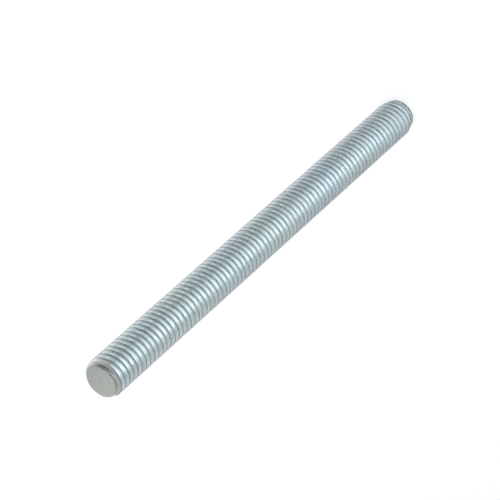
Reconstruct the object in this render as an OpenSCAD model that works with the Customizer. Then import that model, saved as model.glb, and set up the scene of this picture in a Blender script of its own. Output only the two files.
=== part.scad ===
/* [Rod] */
// Outside diameter, measured over the thread crests
thread_d = 8; // [6:0.5:14]
// Overall length from end face to end face
rod_length = 101.25; // [20:0.25:120]

/* [Thread] */
// Distance from one crest to the next
pitch = 1.25; // [1.1:0.05:2]
// Direction in which a crest runs out on the top face, in degrees from +X towards +Y
crest_exit = -155; // [-180:5:180]
// Straight facets in one turn of the thread
turn_facets = 18; // [10:1:18]

/* [Ends] */
// Height of the run-out at the foot, where the rolled crests are not yet full
runout_h = 2.5; // [0.5:0.25:5]
// How far the crests stand below full height at the foot face
runout_drop = 0.74; // [0.1:0.02:0.76]
// How far the chamfer at the top brings the rim of the top face inside the crests
chamfer_in = 0.6; // [0.1:0.05:0.75]
// Height of the chamfer at the top
chamfer_h = 1.15; // [0.2:0.05:2]

/* [Hidden] */

// Basic profile of a 60 degree metric thread
flank_lean = 30;
crest_flat = pitch / 8;
root_flat = pitch / 6;
thread_depth = (pitch - crest_flat - root_flat) / 2 / tan(flank_lean);

crest_r = thread_d / 2;
root_r = crest_r - thread_depth;

// The flanks are carried on past the crests until they meet, and the round bar cuts them back
apex_r = crest_r + crest_flat / 2 / tan(flank_lean);

// The thread starts below the foot face and ends above the top face
turns_below = 2;
turns_above = 1;
turns = ceil(rod_length / pitch) + turns_below + turns_above;
last_step = turns * turn_facets;
cap_reach = 2 * pitch;

round_facets = 72;
zinc = [0.74, 0.79, 0.81];

// Height of a right-hand crest at one step of its climb, with a crest on the top face at crest_exit
function crest_z(step) = rod_length + (step / turn_facets - turns + turns_above) * pitch;

// Point at radius r beside the crest at one step, lift above it
function thread_point(r, lift, step) =
    let (a = crest_exit + 360 * (step / turn_facets - turns + turns_above))
    [r * cos(a), r * sin(a), crest_z(step) + lift];

// Core and helical ridge in one closed body. Each step has three points: the two edges of
// the root flat below the ridge and the apex of the ridge. One turn on, the lower edge of the
// next root flat is the foot of this ridge's upper flank.
module thread_body() {
    n = turn_facets;
    steps = last_step + n;
    points = [
        for (i = [0 : steps])
            each [
                thread_point(root_r, -(pitch + root_flat) / 2, i),
                thread_point(root_r, -(pitch - root_flat) / 2, i),
                thread_point(apex_r, 0, i)
            ],
        [0, 0, crest_z(0) - cap_reach],
        [0, 0, crest_z(last_step) + cap_reach]
    ];
    low_pole = 3 * (steps + 1);
    high_pole = low_pole + 1;

    function root(i) = [[3 * i, 3 * i + 1, 3 * i + 3], [3 * i + 1, 3 * i + 4, 3 * i + 3]];
    function lower_flank(i) = [[3 * i + 1, 3 * i + 2, 3 * i + 4], [3 * i + 2, 3 * i + 5, 3 * i + 4]];
    function upper_flank(i) =
        let (j = i + n)
        [[3 * i + 2, 3 * j, 3 * i + 5], [3 * j, 3 * j + 3, 3 * i + 5]];

    low_cap = [
        for (i = [0 : n - 1])
            [low_pole, 3 * i, 3 * i + 3],
        [low_pole, 1, 0],
        [low_pole, 2, 1],
        [low_pole, 3 * n, 2]
    ];
    t = 3 * last_step;
    high_cap = [
        for (i = [0 : n - 1])
            [high_pole, t + 3 * i + 3, t + 3 * i],
        [high_pole, t, t + 1],
        [high_pole, t + 1, t + 2],
        [high_pole, t + 2, t + 3 * n]
    ];
    polyhedron(
        points,
        [
            for (i = [0 : last_step - 1])
                each concat(root(i), lower_flank(i), upper_flank(i)),
            each low_cap,
            each high_cap
        ]
    );
}

// Round bar that the thread is rolled on: flat ends, crests that fade at the foot, and a
// chamfer at the top
module bar() {
    rotate_extrude($fn = round_facets)
        polygon([
            [0, 0],
            [crest_r - runout_drop, 0],
            [crest_r, runout_h],
            [crest_r, rod_length - chamfer_h],
            [crest_r - chamfer_in, rod_length],
            [0, rod_length]
        ]);
}

module threaded_rod() {
    color(zinc)
        intersection() {
            bar();
            thread_body();
        }
}

threaded_rod();
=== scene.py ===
"""A zinc-plated threaded rod: its rolled thread, its cut ends and a plain white studio."""

import logging
import math
from dataclasses import dataclass
from enum import Enum

import bmesh
import bpy
from mathutils import Matrix, Vector

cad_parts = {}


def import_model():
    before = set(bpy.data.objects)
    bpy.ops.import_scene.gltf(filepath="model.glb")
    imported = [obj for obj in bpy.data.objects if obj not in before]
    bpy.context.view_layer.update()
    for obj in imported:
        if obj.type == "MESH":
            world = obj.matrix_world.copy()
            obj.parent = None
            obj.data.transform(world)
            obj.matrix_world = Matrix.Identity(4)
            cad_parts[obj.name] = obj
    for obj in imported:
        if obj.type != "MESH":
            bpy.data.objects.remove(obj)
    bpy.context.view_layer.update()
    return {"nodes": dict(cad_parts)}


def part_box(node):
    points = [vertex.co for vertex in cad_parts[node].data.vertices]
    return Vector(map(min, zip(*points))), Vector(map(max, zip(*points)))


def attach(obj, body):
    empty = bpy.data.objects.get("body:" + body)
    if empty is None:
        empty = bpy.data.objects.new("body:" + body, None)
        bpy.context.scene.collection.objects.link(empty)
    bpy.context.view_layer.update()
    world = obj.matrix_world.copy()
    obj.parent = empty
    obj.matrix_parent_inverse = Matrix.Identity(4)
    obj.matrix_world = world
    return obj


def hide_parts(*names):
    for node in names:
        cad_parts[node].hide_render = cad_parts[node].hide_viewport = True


LOG = logging.getLogger("threaded_rod")

MM = 0.001
NODE = "threaded_rod"
BODY = "root"

Colour = tuple[float, float, float]
Span = tuple[float, float]


class End(Enum):
    """The two ends of the rod, each with the side along Z that its face looks to."""

    TOP = 1
    FOOT = -1


@dataclass(frozen=True)
class Value:
    """A number that varies over a surface, held as one output socket of a node tree."""

    graph: "Graph"
    socket: bpy.types.NodeSocket

    def _maths(self, operation: str, first: "Value | float", second: "Value | float") -> "Value":
        """Add one Math node.

        Args:
            operation: the Math node's operation.
            first: its first input.
            second: its second input.

        Returns:
            The node's result.
        """
        return self.graph.value("ShaderNodeMath", {"operation": operation}, {0: first, 1: second})

    def __add__(self, other: "Value | float") -> "Value":
        """Return the sum."""
        return self._maths("ADD", self, other)

    def __radd__(self, other: float) -> "Value":
        """Return the sum with a plain number first."""
        return self._maths("ADD", other, self)

    def __sub__(self, other: "Value | float") -> "Value":
        """Return the difference."""
        return self._maths("SUBTRACT", self, other)

    def __rsub__(self, other: float) -> "Value":
        """Return a plain number less this value."""
        return self._maths("SUBTRACT", other, self)

    def __mul__(self, other: "Value | float") -> "Value":
        """Return the product."""
        return self._maths("MULTIPLY", self, other)

    def __rmul__(self, other: float) -> "Value":
        """Return the product with a plain number first."""
        return self._maths("MULTIPLY", other, self)

    def __truediv__(self, other: "Value | float") -> "Value":
        """Return the quotient."""
        return self._maths("DIVIDE", self, other)

    def power(self, exponent: float) -> "Value":
        """Return this value raised to a power."""
        return self._maths("POWER", self, exponent)

    def at_least(self, floor: float) -> "Value":
        """Return this value, or the given number where that is larger."""
        return self._maths("MAXIMUM", self, floor)

    def band(self, low: float, high: float) -> "Value":
        """Rise smoothly from 0 to 1 between two bounds.

        Args:
            low: where the result leaves 0.
            high: where the result reaches 1.

        Returns:
            The smooth step.
        """
        return self.graph.value(
            "ShaderNodeMapRange",
            {"interpolation_type": "SMOOTHSTEP"},
            {0: self, 1: low, 2: high, 3: 0.0, 4: 1.0},
        )


class Graph:
    """The node tree of one material or world, emptied and ready to fill."""

    def __init__(self, owner: bpy.types.Material | bpy.types.World) -> None:
        """Empty the owner's node tree.

        Args:
            owner: the material or world to fill.
        """
        owner.use_nodes = True
        self.tree = owner.node_tree
        self.tree.nodes.clear()

    def node(self, kind: str, settings: dict, inputs: dict) -> bpy.types.Node:
        """Add a node.

        Args:
            kind: the node's type name.
            settings: attributes of the node, set before its sockets.
            inputs: socket names or indices, with the values or outputs that feed them.

        Returns:
            The new node.
        """
        node = self.tree.nodes.new(kind)
        for name, setting in settings.items():
            setattr(node, name, setting)
        for key, source in inputs.items():
            if isinstance(source, Value):
                source = source.socket
            if isinstance(source, bpy.types.NodeSocket):
                self.tree.links.new(source, node.inputs[key])
            else:
                node.inputs[key].default_value = source
        return node

    def value(self, kind: str, settings: dict, inputs: dict) -> Value:
        """Add a node and wrap its first output as a number.

        Args:
            kind: the node's type name.
            settings: attributes of the node.
            inputs: what feeds its sockets.

        Returns:
            The wrapped output.
        """
        return Value(self, self.node(kind, settings, inputs).outputs[0])

    def mix(self, factor: Value, first: object, second: object) -> bpy.types.NodeSocket:
        """Blend two colours.

        Args:
            factor: 0 gives the first colour and 1 the second.
            first: a colour or a colour socket.
            second: a colour or a colour socket.

        Returns:
            The blended colour's socket.
        """
        colours = [(*c, 1.0) if isinstance(c, tuple) else c for c in (first, second)]
        inputs = {0: factor, 6: colours[0], 7: colours[1]}
        return self.node("ShaderNodeMix", {"data_type": "RGBA"}, inputs).outputs[2]


@dataclass(frozen=True)
class Speckle:
    """A fractal noise, by its features per metre and the number of finer layers over them."""

    scale: float
    layers: float

    def over(self, graph: Graph, place: bpy.types.NodeSocket) -> Value:
        """Add the noise to a material.

        Args:
            graph: the material's nodes.
            place: the point at which the noise is taken.

        Returns:
            The noise, mostly between 0.3 and 0.7.
        """
        inputs = {"Vector": place, "Scale": self.scale, "Detail": self.layers}
        return graph.value("ShaderNodeTexNoise", {}, inputs)


@dataclass(frozen=True)
class ZincPlating:
    """Bright zinc plating on a rolled thread, duller on the cut faces at its ends, with painted shade in
    its grooves and a painted dark reflection along its crests.
    """

    crest_radius: float
    root_radius: float
    top: float
    runout_height: float
    runout_drop: float
    cool: Colour = (0.82, 0.93, 0.98)
    green: Colour = (0.85, 0.94, 0.95)
    tint: Speckle = Speckle(45.0, 2.0)
    tint_edge: Span = (0.35, 0.65)
    streak: Speckle = Speckle(7000.0, 4.0)
    streak_stretch: float = 16.0
    streak_edge: Span = (0.45, 0.75)
    streak_depth: float = 0.40
    worn_tint: Colour = (0.60, 0.62, 0.59)
    worn_height: float = 1.15 * MM
    worn_fade: float = 1.3
    worn_least: float = 0.55
    worn_mottle: float = 0.6
    # Painted shade in the grooves; the same dark colour also draws the streaks, which are real rolling
    # marks
    streak_and_groove_painted_shade: Colour = (0.20, 0.25, 0.27)
    root_depth: Span = (0.90, 0.99)
    # Painted dark reflection: the crests are darkened in the colour, in noisy patches
    crest_painted_dark_reflection: Colour = (0.21, 0.27, 0.29)
    crest_depth: Span = (0.0, 0.22)
    # Noise that breaks the painted dark reflection on the crests into patches
    crest_shade_patches: Speckle = Speckle(1600.0, 2.0)
    crest_shade_patches_edge: Span = (0.3, 0.7)
    crest_shade_patches_share: float = 0.30
    face_warm: Colour = (0.72, 0.76, 0.71)
    face_cool: Colour = (0.66, 0.69, 0.71)
    face_skin: Span = (0.01 * MM, 0.02 * MM)
    face_across: Span = (-0.7, 0.8)
    face_mottle: float = 1.6
    mottle: Speckle = Speckle(900.0, 4.0)
    roughness: float = 0.30
    rough_mottle: float = 0.22
    rough_lines: float = 0.12
    face_roughness: float = 0.52
    face_rough_mottle: float = 0.2
    grain: Speckle = Speckle(9000.0, 3.0)
    grain_height: float = 0.004 * MM
    mark: Speckle = Speckle(900.0, 3.0)
    mark_stretch: float = 6.0
    mark_height: float = 0.012 * MM

    def build(self) -> bpy.types.Material:
        """Make the material.

        Returns:
            The finished material.
        """
        material = bpy.data.materials.new("zinc_plating")
        graph = Graph(material)
        place = graph.node("ShaderNodeTexCoord", {}, {}).outputs["Object"]
        split = graph.node("ShaderNodeSeparateXYZ", {}, {"Vector": place})
        x, y, z = (Value(graph, socket) for socket in split.outputs)

        # Depth below the crests, from 0 on a crest to 1 in a groove, also where the crests run out
        radius = (x * x + y * y).power(0.5)
        missing = (1.0 - z / self.runout_height).at_least(0.0)
        outside = self.crest_radius - missing * self.runout_drop
        depth = (outside - radius) / (self.crest_radius - self.root_radius)

        # Painted dark reflection along the crests, broken into noisy patches
        crest_shade_patches = self.crest_shade_patches.over(graph, place).band(*self.crest_shade_patches_edge)
        crest = (1.0 - depth.band(*self.crest_depth)) * (1.0 - self.crest_shade_patches_share + crest_shade_patches * self.crest_shade_patches_share)
        # Painted shade in the grooves
        root = depth.band(*self.root_depth) * (1.0 - missing)
        skin_low, skin_high = self.face_skin
        at_top = z.band(self.top - skin_high, self.top - skin_low)
        at_foot = 1.0 - z.band(skin_low, skin_high)
        face = at_top + at_foot

        tint = self.tint.over(graph, place).band(*self.tint_edge)
        mottle = self.mottle.over(graph, place)
        uneven = mottle - 0.5

        # Streaks run along the thread, so the noise is stretched round the rod
        along = {0: x / self.streak_stretch + radius, 1: y / self.streak_stretch, 2: z}
        around = graph.node("ShaderNodeCombineXYZ", {}, along).outputs[0]
        streak = self.streak.over(graph, around).band(*self.streak_edge)
        worn = z.band(self.top - self.worn_height * self.worn_fade, self.top - self.worn_height)

        body = graph.mix(tint, self.cool, self.green)
        # Real streaks along the thread, in the same dark colour as the painted groove shade
        body = graph.mix(streak * self.streak_depth, body, self.streak_and_groove_painted_shade)
        body = graph.mix(worn * (self.worn_least + mottle * self.worn_mottle), body, self.worn_tint)
        # Painted shade in the grooves
        body = graph.mix(root, body, self.streak_and_groove_painted_shade)
        # Painted dark reflection on the crests
        body = graph.mix(crest, body, self.crest_painted_dark_reflection)
        across = (x / self.crest_radius + uneven * self.face_mottle).band(*self.face_across)
        cut = graph.mix(across, self.face_warm, self.face_cool)
        colour = graph.mix(face, body, cut)

        rough = self.roughness + uneven * self.rough_mottle + (root + crest) * self.rough_lines
        face_rough = self.face_roughness + uneven * self.face_rough_mottle
        rough = rough * (1.0 - face) + face * face_rough

        # Fine grain all over, and on the faces the marks of the saw, which run along X
        grain = self.grain.over(graph, place)
        across_marks = graph.node(
            "ShaderNodeMapping", {}, {"Vector": place, "Scale": (1.0, self.mark_stretch, 1.0)}
        ).outputs[0]
        marks = self.mark.over(graph, across_marks)
        height = grain * self.grain_height + marks * face * self.mark_height
        bump = graph.node("ShaderNodeBump", {}, {"Strength": 1.0, "Distance": 1.0, "Height": height})
        shader = graph.node(
            "ShaderNodeBsdfPrincipled",
            {},
            {
                "Base Color": colour,
                "Metallic": 1.0,
                "Roughness": rough,
                "Normal": bump.outputs[0],
            },
        )
        graph.node("ShaderNodeOutputMaterial", {}, {"Surface": shader.outputs[0]})
        return material


@dataclass
class RolledRod:
    """The rod: a right-hand thread rolled over its whole length and cut flat at both ends."""

    crest_radius: float
    length: float
    pitch: float = 1.25 * MM
    flank_lean: float = math.radians(30)
    crest_round: float = 0.045 * MM
    root_round: float = 0.07 * MM
    round_segments: int = 3
    steps_per_turn: int = 48
    spare_turns: int = 3
    crest_exit: float = math.radians(-155)
    runout_height: float = 2.5 * MM
    runout_drop: float = 0.74 * MM
    chamfer_in: float = 0.6 * MM
    chamfer_height: float = 1.15 * MM
    flank_cuts: int = 2
    worked_turns: int = 3
    worked_cuts: int = 2
    edge_break: float = 0.04 * MM
    weld: float = 0.001 * MM
    slice_reach: float = 0.0001 * MM
    sharp_angle: float = math.radians(50)

    @property
    def crest_flat(self) -> float:
        """Width of the flat on each crest."""
        return self.pitch / 8

    @property
    def root_flat(self) -> float:
        """Width of the flat in each groove."""
        return self.pitch / 6

    @property
    def root_radius(self) -> float:
        """Radius at the bottom of the groove."""
        flank_height = (self.pitch - self.crest_flat - self.root_flat) / 2
        return self.crest_radius - flank_height / math.tan(self.flank_lean)

    @property
    def groove_depth(self) -> float:
        """Depth of the groove below the crests."""
        return self.crest_radius - self.root_radius

    def profile(self, mesh: bmesh.types.BMesh) -> None:
        """Draw one pitch of the thread's section along +X, with its corners rounded.

        Args:
            mesh: the empty mesh that takes the section.
        """
        half = self.pitch / 2
        corners = [
            (self.root_radius, -half),
            (self.root_radius, -half + self.root_flat / 2),
            (self.crest_radius, -self.crest_flat / 2),
            (self.crest_radius, self.crest_flat / 2),
            (self.root_radius, half - self.root_flat / 2),
            (self.root_radius, half),
        ]
        verts = [mesh.verts.new((r, 0.0, z)) for r, z in corners]
        for low, high in zip(verts, verts[1:]):
            mesh.edges.new((low, high))
        crest_corners = [verts[2], verts[3]]
        root_corners = [verts[1], verts[4]]
        for rounded, offset in ((crest_corners, self.crest_round), (root_corners, self.root_round)):
            bmesh.ops.bevel(
                mesh,
                geom=rounded,
                offset=offset,
                offset_type="OFFSET",
                segments=self.round_segments,
                profile=0.5,
                affect="VERTICES",
                material=-1,
            )
        flanks = self.steep_edges(mesh, self.groove_depth / 2)
        bmesh.ops.subdivide_edges(mesh, edges=flanks, cuts=self.flank_cuts)

    @staticmethod
    def steep_edges(mesh: bmesh.types.BMesh, rise: float) -> list[bmesh.types.BMEdge]:
        """Find the edges that climb a flank.

        Args:
            mesh: the mesh to search.
            rise: the least difference in radius between an edge's two ends.

        Returns:
            The edges that rise by more than that.
        """
        found = []
        for edge in mesh.edges:
            first, second = (vert.co.xy.length for vert in edge.verts)
            if abs(first - second) > rise:
                found.append(edge)
        return found

    def thread(self, mesh: bmesh.types.BMesh) -> None:
        """Sweep the section into one turn and stack the turns past both ends.

        Args:
            mesh: the mesh that holds the section.
        """
        section = mesh.verts[:] + mesh.edges[:]
        rise = Vector((0.0, 0.0, self.pitch / self.steps_per_turn))
        bmesh.ops.spin(
            mesh,
            geom=section,
            cent=(0.0, 0.0, 0.0),
            axis=(0.0, 0.0, 1.0),
            dvec=rise,
            angle=math.tau,
            steps=self.steps_per_turn,
            use_merge=False,
            use_duplicate=False,
        )
        turns = math.ceil(self.length / self.pitch) + self.spare_turns
        start = Vector((0.0, 0.0, self.length - (turns - 1) * self.pitch))
        bmesh.ops.translate(mesh, verts=mesh.verts[:], vec=start)
        turned = Matrix.Rotation(self.crest_exit, 3, "Z")
        bmesh.ops.rotate(mesh, verts=mesh.verts[:], cent=(0.0, 0.0, 0.0), matrix=turned)
        one_turn = mesh.verts[:] + mesh.edges[:] + mesh.faces[:]
        for turn in range(1, turns):
            copy = bmesh.ops.duplicate(mesh, geom=one_turn)["geom"]
            verts = [item for item in copy if isinstance(item, bmesh.types.BMVert)]
            bmesh.ops.translate(mesh, verts=verts, vec=Vector((0.0, 0.0, turn * self.pitch)))
        bmesh.ops.remove_doubles(mesh, verts=mesh.verts[:], dist=self.weld)

    def refine_ends(self, mesh: bmesh.types.BMesh) -> None:
        """Give the flanks near both ends enough points for the chamfer and the run-out.

        Args:
            mesh: the threaded mesh.
        """
        reach = self.worked_turns * self.pitch
        least_rise = self.groove_depth / (2 * (self.flank_cuts + 1))
        flanks = []
        for edge in self.steep_edges(mesh, least_rise):
            height = edge.verts[0].co.z
            if height < reach or height > self.length - reach:
                flanks.append(edge)
        bmesh.ops.subdivide_edges(mesh, edges=flanks, cuts=self.worked_cuts, use_grid_fill=True)

    def work_ends(self, mesh: bmesh.types.BMesh) -> None:
        """Press the crests down at the foot and turn the chamfer at the top.

        Args:
            mesh: the threaded mesh.
        """
        for vert in mesh.verts:
            missing = max(0.0, 1.0 - vert.co.z / self.runout_height)
            turned = max(0.0, 1.0 - (self.length - vert.co.z) / self.chamfer_height)
            limit = self.crest_radius - self.runout_drop * missing - self.chamfer_in * turned
            radius = vert.co.xy.length
            if radius > limit:
                vert.co.xy *= limit / radius

    def cut(self, mesh: bmesh.types.BMesh, end: End) -> None:
        """Cut the thread flat at one end and break the edge of the face.

        Args:
            mesh: the threaded mesh, open at this end.
            end: which end is cut.
        """
        shoulder = self.length - self.edge_break if end is End.TOP else self.edge_break
        sliced = bmesh.ops.bisect_plane(
            mesh,
            geom=mesh.verts[:] + mesh.edges[:] + mesh.faces[:],
            dist=self.slice_reach,
            plane_co=(0.0, 0.0, shoulder),
            plane_no=(0.0, 0.0, end.value),
            clear_outer=True,
        )["geom_cut"]
        rim = [item for item in sliced if isinstance(item, bmesh.types.BMEdge)]
        face = bmesh.ops.edgeloop_fill(mesh, edges=rim)["faces"]
        bmesh.ops.recalc_face_normals(mesh, faces=mesh.faces[:])
        bmesh.ops.inset_region(
            mesh,
            faces=face,
            thickness=self.edge_break,
            depth=self.edge_break,
            use_even_offset=True,
            use_boundary=True,
        )

    def build(self, plating: ZincPlating) -> bpy.types.Object:
        """Make the rod's mesh and dress it.

        Args:
            plating: the finish of the whole rod.

        Returns:
            The rod's object, at the origin.
        """
        mesh = bmesh.new()
        self.profile(mesh)
        self.thread(mesh)
        self.refine_ends(mesh)
        self.work_ends(mesh)
        for end in End:
            self.cut(mesh, end)
        bmesh.ops.recalc_face_normals(mesh, faces=mesh.faces[:])
        data = bpy.data.meshes.new("rolled_rod")
        mesh.to_mesh(data)
        mesh.free()
        data.shade_smooth()
        data.set_sharp_from_angle(angle=self.sharp_angle)
        data.materials.append(plating.build())
        rod = bpy.data.objects.new("rolled_rod", data)
        bpy.context.scene.collection.objects.link(rod)
        even = rod.modifiers.new("even_flanks", "WEIGHTED_NORMAL")
        even.keep_sharp = True
        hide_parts(NODE)
        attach(rod, BODY)
        return rod


@dataclass(frozen=True)
class SoftBox:
    """One square lamp with an even glow, aimed at the rod or at the table before it."""

    name: str
    place: Vector
    aim: Vector
    width: float
    radiance: float
    spread: float = math.pi

    def build(self) -> None:
        """Make the lamp and put it in the scene."""
        data = bpy.data.lights.new(self.name, "AREA")
        data.shape = "SQUARE"
        data.size = self.width
        data.energy = self.radiance * math.pi * self.width**2
        data.spread = self.spread
        lamp = bpy.data.objects.new(self.name, data)
        lamp.location = self.place
        lamp.rotation_euler = (self.aim - self.place).to_track_quat("-Z", "Y").to_euler()
        bpy.context.scene.collection.objects.link(lamp)


@dataclass(frozen=True)
class GreyCard:
    """An upright matt card that stands by the rod, out of the picture, and evens out one side."""

    turn: float
    distance: float
    width: float
    height: float
    shade: Colour

    def build(self) -> None:
        """Make the card, stood on the table and facing the rod's axis."""
        mesh = bmesh.new()
        bmesh.ops.create_grid(mesh, x_segments=1, y_segments=1, size=0.5)
        bmesh.ops.scale(mesh, verts=mesh.verts[:], vec=(self.width, self.height, 1.0))
        upright = Matrix.Rotation(math.pi / 2, 3, "X")
        bmesh.ops.rotate(mesh, verts=mesh.verts[:], cent=(0.0, 0.0, 0.0), matrix=upright)
        place = Vector((0.0, -self.distance, self.height / 2))
        bmesh.ops.translate(mesh, verts=mesh.verts[:], vec=place)
        turned = Matrix.Rotation(self.turn, 3, "Z")
        bmesh.ops.rotate(mesh, verts=mesh.verts[:], cent=(0.0, 0.0, 0.0), matrix=turned)
        data = bpy.data.meshes.new("grey_card")
        mesh.to_mesh(data)
        mesh.free()
        material = bpy.data.materials.new("grey_card")
        graph = Graph(material)
        matt = graph.node("ShaderNodeBsdfDiffuse", {}, {"Color": (*self.shade, 1.0)})
        graph.node("ShaderNodeOutputMaterial", {}, {"Surface": matt.outputs[0]})
        data.materials.append(material)
        card = bpy.data.objects.new("grey_card", data)
        card.visible_camera = False
        bpy.context.scene.collection.objects.link(card)


@dataclass
class Studio:
    """The white table, the pale room, and the lamps and cards round the rod."""

    aim: Vector
    floor_radius: float = 3.0
    floor_sides: int = 96
    floor_colour: Colour = (0.86, 0.86, 0.86)
    floor_lift: float = 0.57
    room_light: Colour = (0.64, 0.64, 0.64)
    room_dark: Colour = (0.15, 0.15, 0.15)
    dark_toward: Vector = Vector((0.28, 0.01, 0.960))
    dark_edge: Span = (0.84, 0.96)

    def floor(self) -> None:
        """Make the table top, white to the camera and in the metal, with soft shadows."""
        mesh = bmesh.new()
        bmesh.ops.create_circle(
            mesh, cap_ends=True, radius=self.floor_radius, segments=self.floor_sides
        )
        data = bpy.data.meshes.new("floor")
        mesh.to_mesh(data)
        mesh.free()
        material = bpy.data.materials.new("white_table")
        graph = Graph(material)
        path = graph.node("ShaderNodeLightPath", {}, {})
        seen = Value(graph, path.outputs["Is Camera Ray"])
        seen = seen + Value(graph, path.outputs["Is Glossy Ray"])
        seen = seen + Value(graph, path.outputs["Is Transmission Ray"])
        colour = (*self.floor_colour, 1.0)
        matt = graph.node("ShaderNodeBsdfDiffuse", {}, {"Color": colour}).outputs[0]
        glow = graph.node(
            "ShaderNodeEmission", {}, {"Strength": seen * self.floor_lift}
        ).outputs[0]
        both = graph.node("ShaderNodeAddShader", {}, {0: matt, 1: glow}).outputs[0]
        graph.node("ShaderNodeOutputMaterial", {}, {"Surface": both})
        data.materials.append(material)
        floor = bpy.data.objects.new("floor", data)
        bpy.context.scene.collection.objects.link(floor)

    def room(self) -> None:
        """Make the room's even light, with a dark patch high on the +X side."""
        world = bpy.data.worlds.new("room")
        graph = Graph(world)
        place = graph.node("ShaderNodeTexCoord", {}, {}).outputs["Generated"]
        split = graph.node("ShaderNodeSeparateXYZ", {}, {"Vector": place})
        x, y, z = (Value(graph, socket) for socket in split.outputs)
        toward = self.dark_toward
        patch = (x * toward.x + y * toward.y + z * toward.z).band(*self.dark_edge)
        colour = graph.mix(patch, self.room_light, self.room_dark)
        glow = graph.node("ShaderNodeBackground", {}, {"Color": colour, "Strength": 1.0})
        graph.node("ShaderNodeOutputWorld", {}, {"Surface": glow.outputs[0]})
        bpy.context.scene.world = world

    def lamps(self) -> None:
        """Make the lamp behind the rod, and the two that light the table for the metal to mirror."""
        pool = Vector((-0.136, -0.182, 0.0))
        foot_pool = Vector((-0.035, -0.060, 0.0))
        boxes = [
            SoftBox(
                name="back_box",
                place=self.aim + Vector((0.45, 0.48, 0.36)),
                aim=self.aim,
                width=0.36,
                radiance=0.31,
            ),
            SoftBox(
                name="low_box",
                place=pool + Vector((0.0, 0.0, 0.18)),
                aim=pool,
                width=0.16,
                radiance=2.1,
                spread=math.radians(75),
            ),
            SoftBox(
                name="foot_box",
                place=foot_pool + Vector((0.0, 0.0, 0.06)),
                aim=foot_pool,
                width=0.05,
                radiance=1.4,
                spread=math.radians(70),
            ),
        ]
        for box in boxes:
            box.build()

    def cards(self) -> None:
        """Make the narrow card at the front on the +X side and the wide one on the -X side."""
        narrow = GreyCard(
            turn=math.radians(45),
            distance=0.075,
            width=0.048,
            height=0.13,
            shade=(0.96, 0.96, 0.96),
        )
        wide = GreyCard(
            turn=math.radians(-97),
            distance=0.100,
            width=0.18,
            height=0.13,
            shade=(0.90, 0.90, 0.90),
        )
        narrow.build()
        wide.build()

    def build(self) -> None:
        """Make the floor, the room, the lamps and the cards."""
        self.floor()
        self.room()
        self.lamps()
        self.cards()
        bpy.context.scene.view_settings.view_transform = "Standard"


@dataclass(frozen=True)
class PhotoCamera:
    """The camera that frames the rod as the photograph does, top end at the lower left."""

    frame_px: float = 500.0
    sensor: float = 36.0
    focal_px: float = 2301.0
    distance: float = 0.446
    elevation: float = math.radians(39.25)
    axis_tilt: float = math.radians(41.82)
    aim_height: float = 54.62 * MM
    aim_side: float = -0.30 * MM

    @property
    def aim(self) -> Vector:
        """The point at the middle of the frame."""
        return Vector((self.aim_side, 0.0, self.aim_height))

    def build(self) -> None:
        """Make the camera and give it to the scene."""
        data = bpy.data.cameras.new("photo_camera")
        data.sensor_width = self.sensor
        data.lens = self.focal_px * self.sensor / self.frame_px
        back = Vector((0.0, -math.cos(self.elevation), math.sin(self.elevation)))
        upright = (-back).to_track_quat("-Z", "Y").to_matrix().to_4x4()
        roll = Matrix.Rotation(-(math.pi / 2 + self.axis_tilt), 4, "Z")
        camera = bpy.data.objects.new("photo_camera", data)
        camera.matrix_world = Matrix.Translation(self.aim + back * self.distance) @ upright @ roll
        bpy.context.scene.collection.objects.link(camera)
        bpy.context.scene.camera = camera


def main() -> None:
    """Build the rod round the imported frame, then the studio and the camera."""
    logging.basicConfig(level=logging.INFO, format="%(name)s: %(message)s")
    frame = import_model()
    LOG.info("frame holds %s", ", ".join(sorted(frame["nodes"])))

    low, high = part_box(NODE)
    camera = PhotoCamera()
    camera.build()

    rod = RolledRod(crest_radius=high.x, length=high.z - low.z)
    plating = ZincPlating(
        rod.crest_radius, rod.root_radius, rod.length, rod.runout_height, rod.runout_drop
    )
    piece = rod.build(plating)
    LOG.info("%s has %d faces", piece.name, len(piece.data.polygons))

    Studio(aim=camera.aim).build()
    LOG.info("studio and camera are in place")


if __name__ == "__main__":
    main()
